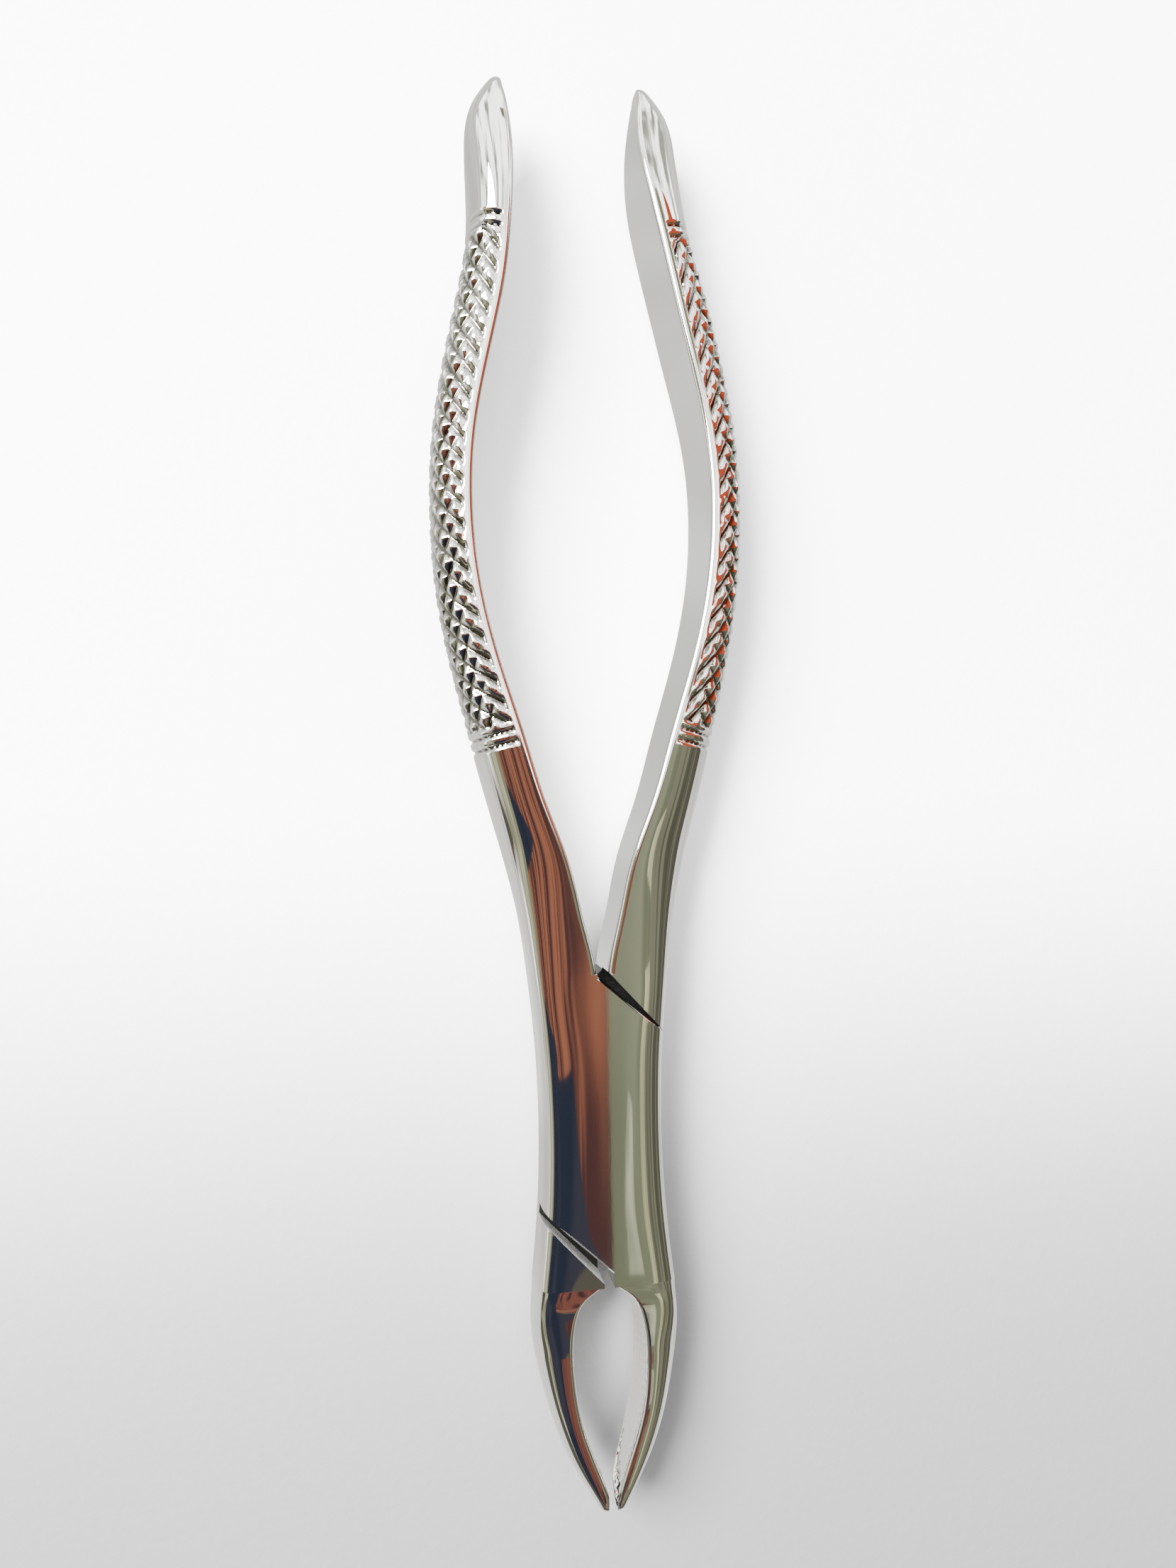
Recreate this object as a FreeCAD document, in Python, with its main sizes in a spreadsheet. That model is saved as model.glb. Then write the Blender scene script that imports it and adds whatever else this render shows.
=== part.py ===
import FreeCAD, Part
import os
import re
import Sketcher
from FreeCAD import Placement, Rotation, Vector

# Dental extraction forceps, American pattern, lying flat: two halves on one pivot screw.
# Frame: +Z along the pivot axis, +Y towards the handle ends, +X across them. The origin is on
# the pivot axis, in the flat underside of the joint. Millimetres.
#
# Each half is one forging: a handle, a lap plate half as thick as the joint, and a beak on the
# other side of the axis. Both halves are drawn about the joint's middle plane with the handle
# at -X and the lap plate on top, and the lower half is then turned over about Y.

DIMENSIONS = (
    # alias, millimetres, what it measures
    ("handle_reach", 128.0, "pivot to handle ends"),
    ("handle_spread", 19.2, "midline to the fullest part of a handle's back"),
    ("handle_height", 12.0, "handle's inner face, across the flat, near its end"),
    ("beak_reach", 45.0, "pivot to beak tips"),
    ("beak_spread", 8.8, "midline to the fullest part of a beak's back"),
    ("beak_height", 8.0, "beak across its gripping face, near its root"),
    ("beak_rise", 3.0, "how far the tips curve up out of the joint's plane"),
    ("beak_hollow", 0.7, "depth of the hollow in a gripping face"),
    ("tip_gap", 0.3, "space left between the closed tips"),
    ("joint_thickness", 9.0, "both lap plates together"),
    ("joint_width", 17.0, "joint across its ends"),
    ("joint_waist", 1.2, "how far each side draws in at the joint's middle"),
    ("joint_edge", 2.0, "rounding of the joint's long edges"),
    ("joint_crown", 19.7, "pivot to the V between the handles"),
    ("joint_foot", 17.9, "pivot to the crotch between the beaks"),
    ("throat_gap", 1.4, "space between the handles at the V"),
    ("crown_lap", 8.5, "how far the lap plate's edge falls from the V to the side"),
    ("crown_shoulder", 8.6, "how far the handle's shoulder falls from the V to the side"),
    ("foot_lap", 10.2, "how far the lap plate's edge climbs from the crotch to the side"),
    ("foot_shoulder", 8.9, "how far the beak's shoulder climbs from the crotch to the side"),
    ("lap_gap", 0.05, "clearance between the two lap plates"),
    ("screw_radius", 2.5, "pivot screw's shank"),
    ("screw_clearance", 0.03, "radial running clearance in the lower half"),
    ("screw_bite", 3.4, "depth of the blind hole in the upper half"),
    ("head_radius", 3.8, "pivot screw's head"),
    ("head_height", 1.5, "pivot screw's head"),
    ("head_clearance", 0.06, "around, over and under the screw's head"),
    ("slot_width", 0.9, "screwdriver slot"),
    ("slot_depth", 0.7, "screwdriver slot"),
)

# Cross-sections of a handle, from inside the joint to its end: distance from the pivot, flat
# inner face and round back from the midline, height, and how far the back bulges past the
# two flat lands beside the inner face.
HANDLE_SECTIONS = (
    ("joint_crown - 1", "throat_gap / 2", "joint_width / 2 - 0.15", "joint_thickness", "2"),
    ("handle_reach * 0.203", "handle_spread * 0.11", "handle_spread * 0.492", "joint_thickness", "2.4"),
    ("handle_reach * 0.258", "handle_spread * 0.195", "handle_spread * 0.577",
     "handle_height * 0.79", "3"),
    ("handle_reach * 0.313", "handle_spread * 0.33", "handle_spread * 0.676",
     "handle_height * 0.85", "3.6"),
    ("handle_reach * 0.375", "handle_spread * 0.454", "handle_spread * 0.783",
     "handle_height * 0.89", "3.9"),
    ("handle_reach * 0.445", "handle_spread * 0.6", "handle_spread * 0.895",
     "handle_height * 0.93", "4.1"),
    ("handle_reach * 0.516", "handle_spread * 0.705", "handle_spread * 0.974",
     "handle_height * 0.94", "4"),
    ("handle_reach * 0.586", "handle_spread * 0.746", "handle_spread", "handle_height * 0.94", "3.8"),
    ("handle_reach * 0.656", "handle_spread * 0.716", "handle_spread * 0.979",
     "handle_height * 0.94", "3.9"),
    ("handle_reach * 0.727", "handle_spread * 0.62", "handle_spread * 0.902",
     "handle_height * 0.97", "4.1"),
    ("handle_reach * 0.797", "handle_spread * 0.513", "handle_spread * 0.795", "handle_height", "4.2"),
    ("handle_reach * 0.85", "handle_spread * 0.45", "handle_spread * 0.71", "handle_height", "4.1"),
    ("handle_reach * 0.89", "handle_spread * 0.414", "handle_spread * 0.687",
     "handle_height * 0.94", "4.2"),
    ("handle_reach * 0.93", "handle_spread * 0.397", "handle_spread * 0.675",
     "handle_height * 0.76", "4.1"),
    ("handle_reach * 0.973", "handle_spread * 0.411", "handle_spread * 0.615",
     "handle_height * 0.43", "2.5"),
    ("handle_reach", "handle_spread * 0.436", "handle_spread * 0.485", "handle_height * 0.12", "0.7"),
)

# Cross-sections of a beak, from inside the joint to its tip, with the rise of the section's
# middle last. Its inner face is hollow.
BEAK_SECTIONS = (
    ("joint_foot - 1", "beak_spread * 0.1", "joint_width / 2 - 0.15", "joint_thickness", "2", "0"),
    ("joint_foot + 1.4", "beak_spread * 0.36", "beak_spread * 1.02", "joint_thickness", "2.2", "0"),
    ("beak_reach * 0.52", "beak_spread * 0.5", "beak_spread * 1.02",
     "beak_height * 1.06", "2.4", "beak_rise * 0.03"),
    ("beak_reach * 0.62", "beak_spread * 0.5", "beak_spread * 0.96",
     "beak_height", "2.6", "beak_rise * 0.15"),
    ("beak_reach * 0.73", "beak_spread * 0.42", "beak_spread * 0.83",
     "beak_height * 0.95", "2.5", "beak_rise * 0.36"),
    ("beak_reach * 0.86", "beak_spread * 0.21", "beak_spread * 0.565",
     "beak_height * 0.75", "2.2", "beak_rise * 0.66"),
    ("beak_reach * 0.95", "tip_gap / 2 + 0.4", "beak_spread * 0.305",
     "beak_height * 0.57", "1.4", "beak_rise * 0.88"),
    ("beak_reach", "tip_gap / 2", "tip_gap / 2 + 1.2", "beak_height * 0.3", "0.7", "beak_rise"),
)

doc = FreeCAD.newDocument("ExtractionForceps")
sheet = doc.addObject("Spreadsheet::Sheet", "Dimensions")
for row, (alias, value, note) in enumerate(DIMENSIONS, start=1):
    sheet.set(f"A{row}", note)
    sheet.set(f"B{row}", str(value))
    sheet.setAlias(f"B{row}", alias)
doc.recompute()

SIZE = {alias: value for alias, value, _ in DIMENSIONS}
ALIAS = re.compile(r"\b(" + "|".join(SIZE) + r")\b")


def value_of(text):
    """What an expression on the cells comes to, in millimetres."""
    return float(FreeCAD.Units.Quantity(ALIAS.sub(lambda found: str(SIZE[found[1]]), text)))


def bind(thing, path, text):
    """Drive a property by an expression that names the sheet's cells by alias alone."""
    thing.setExpression(path, ALIAS.sub(r"Dimensions.\1", text))


def new_sketch(body, name, role, offset):
    """An empty sketch on one of the body's own planes, moved along that plane's normal."""
    plane = next(feature for feature in body.Origin.OriginFeatures if feature.Role == role)
    sketch = body.newObject("Sketcher::SketchObject", name)
    sketch.AttachmentSupport = [(plane, "")]
    sketch.MapMode = "FlatFace"
    bind(sketch, "AttachmentOffset.Base.z", offset)
    return sketch


def drive(sketch, kind, *target, text):
    """Add one driving dimension to a sketch and bind it to the cells."""
    index = sketch.addConstraint(Sketcher.Constraint(kind, *target, value_of(text)))
    bind(sketch, f"Constraints[{index}]", text)


def outline(sketch, nodes):
    """Draw a closed outline through nodes of x, y and rise.

    The edge that leaves a node is straight where its rise is empty. Otherwise it is an arc
    that stands out by the rise to the right of the way from this node to the next.
    """
    points = [Vector(value_of(x), value_of(y), 0) for x, y, _ in nodes]
    ends = []
    for i, (_, _, rise) in enumerate(nodes):
        start, end = points[i], points[(i + 1) % len(nodes)]
        forwards = not rise or value_of(rise) > 0
        if rise:
            right = Vector(end.y - start.y, start.x - end.x, 0).normalize()
            crest = (start + end) * 0.5 + right * value_of(rise)
            edge = Part.Arc(start, crest, end) if forwards else Part.Arc(end, crest, start)
        else:
            edge = Part.LineSegment(start, end)
        sketch.addGeometry(edge, False)
        ends.append((1, 2) if forwards else (2, 1))
    for i, (x, y, rise) in enumerate(nodes):
        before = (i - 1) % len(nodes)
        joined = Sketcher.Constraint("Coincident", before, ends[before][1], i, ends[i][0])
        sketch.addConstraint(joined)
        drive(sketch, "DistanceX", -1, 1, i, ends[i][0], text=x)
        drive(sketch, "DistanceY", -1, 1, i, ends[i][0], text=y)
        if rise:
            next_x, next_y, _ = nodes[(i + 1) % len(nodes)]
            chord = f"(({next_x}) - ({x})) ^ 2 + (({next_y}) - ({y})) ^ 2"
            drive(sketch, "Radius", i, text=f"(({chord}) / 4 + ({rise}) ^ 2) / (2 * abs({rise}))")
    return sketch


def circle(body, name, offset, radius):
    """A circle about the pivot axis."""
    sketch = new_sketch(body, name, "XY_Plane", offset)
    sketch.addGeometry(Part.Circle(Vector(0, 0, 0), Vector(0, 0, 1), value_of(radius)), False)
    sketch.addConstraint(Sketcher.Constraint("Coincident", 0, 3, -1, 1))
    drive(sketch, "Radius", 0, text=radius)
    return sketch


def cross_section(body, name, side, along, inner, outer, height, bulge, middle="0", hollow=""):
    """A section of a handle or beak: inner face, two flat lands and a bulging back.

    side is 1 or -1, for +X or -X, and along is the signed distance from the pivot, +Y up.
    """
    sketch = new_sketch(body, name, "XZ_Plane", f"-1 * ({along})")
    face, land = f"{side} * ({inner})", f"{side} * (({outer}) - ({bulge}))"
    low, high = f"({middle}) - ({height}) / 2", f"({middle}) + ({height}) / 2"
    back_rise = f"{side} * ({bulge})"
    face_rise = f"-1 * {side} * ({hollow})" if hollow else ""
    nodes = ((face, low, ""), (land, low, back_rise), (land, high, ""), (face, high, face_rise))
    return outline(sketch, nodes)


def loft(body, name, sketches):
    feature = body.newObject("PartDesign::AdditiveLoft", name)
    feature.Profile = sketches[0]
    feature.Sections = sketches[1:]
    doc.recompute()


def pad(body, name, sketch, length):
    feature = body.newObject("PartDesign::Pad", name)
    feature.Profile = sketch
    bind(feature, "Length", length)
    doc.recompute()
    return feature


def pocket(body, name, sketch, length="", upwards=False):
    """Cut an outline out of the body, downwards unless told, and right through unless told."""
    before = body.Shape.Volume
    feature = body.newObject("PartDesign::Pocket", name)
    feature.Profile = sketch
    feature.Reversed = upwards
    feature.Type = "Length" if length else "ThroughAll"
    if length:
        bind(feature, "Length", length)
    doc.recompute()
    if feature.Shape.Volume > before - 0.01:
        raise RuntimeError(f"{body.Label}: {name} cuts nothing away")
    return feature


def joint_block(body):
    """The whole outline of the joint, both laps thick: waisted, with its long edges rounded."""
    right, left = "joint_width / 2", "-1 * joint_width / 2"
    foot, waist = "-1 * joint_foot", "-1 * joint_waist"
    sketch = new_sketch(body, "JointOutline", "XY_Plane", "0")
    crown = ((right, "joint_crown", ""), (left, "joint_crown", waist))
    outline(sketch, ((left, foot, ""), (right, foot, waist)) + crown)
    block = pad(body, "JointBlock", sketch, "joint_thickness")
    block.SideType = "Symmetric"
    doc.recompute()
    edges = enumerate(block.Shape.Edges, start=1)
    curved = [f"Edge{number}" for number, edge in edges if isinstance(edge.Curve, Part.Circle)]
    rounding = body.newObject("PartDesign::Fillet", "JointEdges")
    rounding.Base = (block, curved)
    bind(rounding, "Radius", "joint_edge")
    doc.recompute()


def cut_laps(body):
    """Clear the room that the other half needs in the joint."""
    right, left = "joint_width / 2", "-1 * joint_width / 2"
    far_right, far_left = "joint_width", "-1 * joint_width"
    top, bottom = "joint_crown * 2", "-1 * joint_foot * 2"
    beside_v = "-1 * throat_gap / 2"

    # The lower layer keeps two shoulders: one slants from the V to the handle's back, and
    # the other from the crotch to the beak's back.
    lower = new_sketch(body, "LowerLayer", "XY_Plane", "lap_gap / 2")
    outline(lower, (
        (far_left, "joint_crown - crown_shoulder", ""),
        (far_left, bottom, ""),
        ("0", bottom, ""),
        ("0", "-1 * joint_foot", ""),
        (right, "foot_shoulder - joint_foot", ""),
        (far_right, "foot_shoulder - joint_foot", ""),
        (far_right, top, ""),
        (beside_v + " + 0.2", top, ""),
        (beside_v + " + 0.2", "joint_crown + 0.2", ""),
        (left, "joint_crown - crown_shoulder", ""),
    ))
    pocket(body, "LowerLap", lower)

    # The upper layer is the lap plate, trimmed for the other half's handle and beak.
    above = "joint_thickness"
    handle_corner = new_sketch(body, "HandleCorner", "XY_Plane", above)
    outline(handle_corner, (
        (beside_v, "joint_crown - 0.2", ""),
        (right, "joint_crown - crown_lap", ""),
        (far_right, "joint_crown - crown_lap", ""),
        (far_right, top, ""),
        (beside_v, top, ""),
    ))
    pocket(body, "HandleLap", handle_corner)
    beak_corner = new_sketch(body, "BeakCorner", "XY_Plane", above)
    outline(beak_corner, (
        (left, "foot_lap - joint_foot", ""),
        (far_left, "foot_lap - joint_foot", ""),
        (far_left, bottom, ""),
        ("beak_spread * 0.1", bottom, ""),
        ("beak_spread * 0.1", "1.7 - joint_foot", ""),
    ))
    pocket(body, "BeakLap", beak_corner)


def make_half(label, curve):
    """A handle, lap plate and beak. curve is 1 where the beak curves up, -1 where down."""
    body = doc.addObject("PartDesign::Body", label)
    body.Label = label
    joint_block(body)
    cut_laps(body)
    handle = []
    for number, (along, inner, outer, height, bulge) in enumerate(HANDLE_SECTIONS, start=1):
        handle.append(cross_section(body, f"Handle{number}", -1, along, inner, outer, height, bulge))
    loft(body, "Handle", handle)
    beak = []
    for number, (along, inner, outer, height, bulge, rise) in enumerate(BEAK_SECTIONS, start=1):
        shape = (1, f"-1 * ({along})", inner, outer, height, bulge, f"{curve} * {rise}", "beak_hollow")
        beak.append(cross_section(body, f"Beak{number}", *shape))
    loft(body, "Beak", beak)
    return body


# Upper half: the screw is fixed in a blind hole under its lap plate.
upper = make_half("upper_half", 1)
hole_circle = circle(upper, "ScrewHoleCircle", "lap_gap / 2", "screw_radius")
pocket(upper, "ScrewHole", hole_circle, "screw_bite", True)
bind(upper, "Placement.Base.z", "joint_thickness / 2")

# Lower half: it turns on the screw, whose head sits in a counterbore in the underside.
lower = make_half("lower_half", -1)
bore = circle(lower, "BoreCircle", "joint_thickness", "screw_radius + screw_clearance")
pocket(lower, "Bore", bore)
seat = circle(lower, "HeadSeatCircle", "joint_thickness / 2", "head_radius + head_clearance")
pocket(lower, "HeadSeat", seat, "head_height + 2 * head_clearance")
lower.Placement = Placement(Vector(0, 0, 0), Rotation(Vector(0, 1, 0), 180))
bind(lower, "Placement.Base.z", "joint_thickness / 2")

# Pivot screw: slotted head in the underside, shank up into the upper half.
screw = doc.addObject("PartDesign::Body", "pivot_screw")
screw.Label = "pivot_screw"
pad(screw, "Head", circle(screw, "HeadCircle", "head_clearance", "head_radius"), "head_height")
shank_length = "joint_thickness / 2 + lap_gap / 2 + screw_bite - 2 * head_clearance"
pad(screw, "Shank", circle(screw, "ShankCircle", "head_clearance", "screw_radius"), shank_length)
slot_outline = new_sketch(screw, "SlotOutline", "XY_Plane", "head_clearance")
outline(slot_outline, (
    ("-1 * head_radius * 1.5", "-1 * slot_width / 2", ""),
    ("head_radius * 1.5", "-1 * slot_width / 2", ""),
    ("head_radius * 1.5", "slot_width / 2", ""),
    ("-1 * head_radius * 1.5", "slot_width / 2", ""),
))
pocket(screw, "Slot", slot_outline, "slot_depth", True)
screw.Placement = Placement(Vector(0, 0, 0), Rotation(Vector(0, 0, 1), 25))

doc.recompute()
for thing in doc.Objects:
    if "Invalid" in thing.State or "Error" in thing.State:
        raise RuntimeError(f"{thing.Name} failed: {thing.State}")
os.makedirs("parts", exist_ok=True)
for body in (upper, lower, screw):
    shape = body.Shape
    if shape.isNull() or not shape.isValid() or len(shape.Solids) != 1:
        raise RuntimeError(f"{body.Label} is not one valid solid")
    shape.exportStep(f"parts/{body.Label}.step")
    box = shape.BoundBox
    print(f"{body.Label}: {shape.Volume:.1f} mm3, x {box.XMin:.2f}..{box.XMax:.2f},")
    print(f"    y {box.YMin:.2f}..{box.YMax:.2f}, z {box.ZMin:.2f}..{box.ZMax:.2f}")
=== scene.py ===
# %% [markdown]
# # Dental extraction forceps
# Two mirror-polished halves cross on one screw. Each half is a handle, a lap plate and a beak.
# Both halves are drawn once, with the handle at -X and the lap plate on top, in millimetres
# about the joint's middle plane. The lower half is then the same shape turned over.

import math

import bpy
import numpy as np
from mathutils import Matrix, Vector


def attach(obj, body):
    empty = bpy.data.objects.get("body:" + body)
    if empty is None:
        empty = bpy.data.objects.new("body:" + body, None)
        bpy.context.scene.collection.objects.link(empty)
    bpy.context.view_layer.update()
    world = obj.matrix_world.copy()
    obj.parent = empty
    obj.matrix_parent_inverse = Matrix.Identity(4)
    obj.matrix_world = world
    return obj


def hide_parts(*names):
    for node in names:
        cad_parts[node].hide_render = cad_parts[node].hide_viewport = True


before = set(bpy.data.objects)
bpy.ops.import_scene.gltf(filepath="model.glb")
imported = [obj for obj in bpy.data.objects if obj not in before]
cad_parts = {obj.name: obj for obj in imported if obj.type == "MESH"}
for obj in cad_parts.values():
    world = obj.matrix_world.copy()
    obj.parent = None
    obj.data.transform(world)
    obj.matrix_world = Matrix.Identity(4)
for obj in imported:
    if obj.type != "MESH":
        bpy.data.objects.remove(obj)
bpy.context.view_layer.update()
print("CAD nodes:", sorted(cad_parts))

# %% [markdown]
# ## Sizes
# Each row of a table is one station: the distance from the pivot, the flat inner face and the
# round back measured from the midline, and the height. A smooth curve joins the rows.

# %%
HANDLE = np.array([
    (12.0, 0.70, 7.73, 9.00),
    (15.8, 0.70, 8.07, 9.00),
    (19.5, 0.75, 8.50, 9.00),
    (26.0, 2.10, 9.45, 9.00),
    (33.0, 3.75, 11.08, 9.45),
    (40.0, 6.30, 12.98, 10.20),
    (48.0, 8.72, 15.03, 10.70),
    (57.0, 11.50, 17.19, 11.15),
    (66.0, 13.53, 18.70, 11.25),
    (75.0, 14.30, 19.18, 11.25),
    (84.0, 13.74, 18.79, 11.30),
    (93.0, 11.90, 17.32, 11.60),
    (102.0, 9.85, 15.26, 11.95),
    (109.0, 8.64, 13.63, 12.00),
    (114.0, 7.95, 13.19, 11.30),
    (119.0, 7.62, 12.96, 9.10),
    (124.5, 7.90, 11.80, 5.20),
    (128.0, 8.37, 9.31, 1.45),
])
BEAK = np.array([
    (17.9, 0.90, 8.50, 9.00),
    (19.4, 2.75, 8.58, 8.25),
    (21.6, 3.95, 8.80, 8.15),
    (24.5, 4.42, 8.88, 8.30),
    (28.3, 4.38, 8.32, 8.00),
    (33.3, 3.70, 7.10, 7.50),
    (39.0, 1.85, 4.85, 6.00),
    (42.8, 0.55, 2.60, 4.55),
    (45.0, 0.15, 1.35, 2.40),
])
RISE = 3.0
HALF_THICK = 4.5
CROWN_Y, FOOT_Y = 19.50, -17.90
SIDE, WAIST = 8.5, 1.2
PIVOT_HEIGHT = 4.5
EDGE = 0.65
END_LEAN = 1.2


def curve(rows, column, at):
    """A natural cubic through one column of a table, read at the given distances."""
    x, y = rows[:, 0], rows[:, column]
    gap = np.diff(x)
    size = len(x)
    system, right = np.eye(size), np.zeros(size)
    for i in range(1, size - 1):
        system[i, i - 1:i + 2] = gap[i - 1], 2 * (gap[i - 1] + gap[i]), gap[i]
        right[i] = 6 * ((y[i + 1] - y[i]) / gap[i] - (y[i] - y[i - 1]) / gap[i - 1])
    bend = np.linalg.solve(system, right)
    i = np.clip(np.searchsorted(x, at) - 1, 0, size - 2)
    a, b, h = x[i + 1] - at, at - x[i], gap[i]
    arcs = (bend[i] * a ** 3 + bend[i + 1] * b ** 3) / (6 * h)
    return arcs + (y[i] / h - bend[i] * h / 6) * a + (y[i + 1] / h - bend[i + 1] * h / 6) * b


def ease(low, high, at):
    """0 below low, 1 above high, and a soft step between them."""
    t = np.clip((at - low) / (high - low), 0, 1)
    return t * t * (3 - 2 * t)


def rise_at(along):
    """How far a beak's middle has curved out of the joint's plane at this distance."""
    return RISE * (np.maximum(along - 20, 0) / 25) ** 1.8


print("handle at its fullest:", round(float(curve(HANDLE, 2, np.array(75.0))), 2), "mm from the midline")

# %% [markdown]
# ## Rings
# A half is one skin through many rings, from the handle's end to the beak's tip. A ring goes
# up its right side, across the top, down its left side and back along the bottom. A side is
# either a round back or a gripping face with two rounded edges.

# %%
RIGHT_POINTS, TOP_POINTS, LEFT_POINTS = 40, 7, 112


def round_back(centre, reach, half, power, count, side):
    """Points down a round back, from its top to its bottom, evenly spaced."""
    turn = np.linspace(math.pi / 2, -math.pi / 2, 721)
    x = reach * np.abs(np.cos(turn)) ** (2 / power)
    z = half * np.sign(np.sin(turn)) * np.abs(np.sin(turn)) ** (2 / power)
    length = np.concatenate([[0], np.cumsum(np.hypot(np.diff(x), np.diff(z)))])
    at = np.linspace(0, length[-1], count)
    points = np.stack([centre + side * np.interp(at, length, x), np.interp(at, length, z)], 1)
    return points, length[-1] / 2 - at


def grip_face(face, half, edge, hollow, count, side):
    """Points down a flat or hollow face, from its top to its bottom, with rounded edges."""
    corner = count // 5
    turn = np.linspace(math.pi / 2, 0, corner)
    x = face - side * edge * (1 - np.cos(turn))
    z = half - edge * (1 - np.sin(turn))
    flat = np.linspace(half - edge, edge - half, count - 2 * corner + 2)[1:-1]
    deep = hollow * (1 - (flat / (half - edge)) ** 2)
    top = np.stack([x, z], 1)
    middle = np.stack([face - side * deep, flat], 1)
    low = top[::-1] * (1, -1)
    points = np.concatenate([top, middle, low])
    return points, points[:, 1]


def narrowed(inner, outer, half, close):
    """A section drawn in about its own middle, as at a rounded end."""
    middle = (inner + outer) / 2
    return middle + (inner - middle) * close, middle + (outer - middle) * close, half * close


def ring(y, part):
    """One closed ring of x and z at distance y, and how far each point is round the back."""
    if part == "handle":
        inner, outer, half = (float(curve(HANDLE, c, np.array(y))) for c in (1, 2, 3))
        half = half / 2
        close = math.sqrt(max(1 - max(y - 127.2, 0) ** 2 / 0.64, 0.0004))
        inner, outer, half = narrowed(inner, outer, half, close)
        edge = min(EDGE, half * 0.45, (outer - inner) * 0.3)
        land = (inner + edge + 0.35 * min(1, (outer - inner) / 4)) * float(ease(8, CROWN_Y, y))
        power = 5.0 - 2.7 * float(ease(12, 36, y))
        right, _ = grip_face(-inner, half, edge, 0, RIGHT_POINTS, 1)
        left, girth = round_back(-land, outer - land, half, power, LEFT_POINTS, -1)
        lift = 0.0
    elif part == "joint":
        at = max(min(y, CROWN_Y), FOOT_Y)
        middle, reach = (CROWN_Y + FOOT_Y) / 2, (CROWN_Y - FOOT_Y) / 2
        width = SIDE - WAIST * (1 - ((at - middle) / reach) ** 2)
        land = 1.75 * float(ease(8, CROWN_Y, y)) + 1.7 * float(ease(-8, FOOT_Y, y))
        power = 5.0 - 2.7 * float(ease(12, 36, y))
        right, _ = round_back(land, width - land, HALF_THICK, power, RIGHT_POINTS, 1)
        left, girth = round_back(-land, width - land, HALF_THICK, power, LEFT_POINTS, -1)
        lift = 0.0
    else:
        inner, outer, half = (float(curve(BEAK, c, np.array(-y))) for c in (1, 2, 3))
        half = half / 2
        close = math.sqrt(max(1 - max(-y - 44.3, 0) ** 2 / 0.49, 0.0004))
        inner, outer, half = narrowed(inner, outer, half, close)
        edge = min(0.5, half * 0.4, (outer - inner) * 0.3)
        land = inner + edge + 0.3 * min(1, (outer - inner) / 4)
        power = 5.0 - 2.6 * float(ease(17.9, 26, -y))
        hollow = 0.7 * float(ease(18.5, 24, -y)) * close
        left, girth = grip_face(inner, half, edge, hollow, LEFT_POINTS, -1)
        right, _ = round_back(land, outer - land, half, power, RIGHT_POINTS, 1)
        lift = float(rise_at(-y))
    share = np.linspace(0, 1, TOP_POINTS + 2)[1:-1, None]
    top = right[0] + (left[0] - right[0]) * share
    bottom = left[-1] + (right[-1] - left[-1]) * share
    points = np.concatenate([right[::-1], top, left, bottom])
    points[:, 1] += lift
    around = np.full(len(points), 99.0)
    around[RIGHT_POINTS + TOP_POINTS:RIGHT_POINTS + TOP_POINTS + LEFT_POINTS] = girth
    return points, around


def steps(start, end, step):
    """Distances from start to end, both included, about one step apart."""
    return np.linspace(start, end, max(2, int(round(abs(end - start) / step)) + 1))


STATIONS = [("handle", y) for y in (128.0, 127.97, 127.88, 127.75, 127.55, 127.3)]
STATIONS += [("handle", y) for y in steps(127.0, 114.0, 0.45)[:-1]]
STATIONS += [("handle", y) for y in steps(114.0, 44.5, 0.175)[:-1]]
STATIONS += [("handle", y) for y in steps(44.5, CROWN_Y, 0.5)]
STATIONS += [("joint", y) for y in steps(CROWN_Y - 0.05, FOOT_Y + 0.05, 0.45)]
STATIONS += [("beak", y) for y in (-17.90, -17.95, -18.02, -18.12, -18.25, -18.42, -18.65, -18.9)]
STATIONS += [("beak", y) for y in steps(-19.2, -44.2, 0.22)]
STATIONS += [("beak", y) for y in (-44.4, -44.6, -44.75, -44.87, -44.96, -45.0)]
print(len(STATIONS), "rings in a half")

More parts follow.
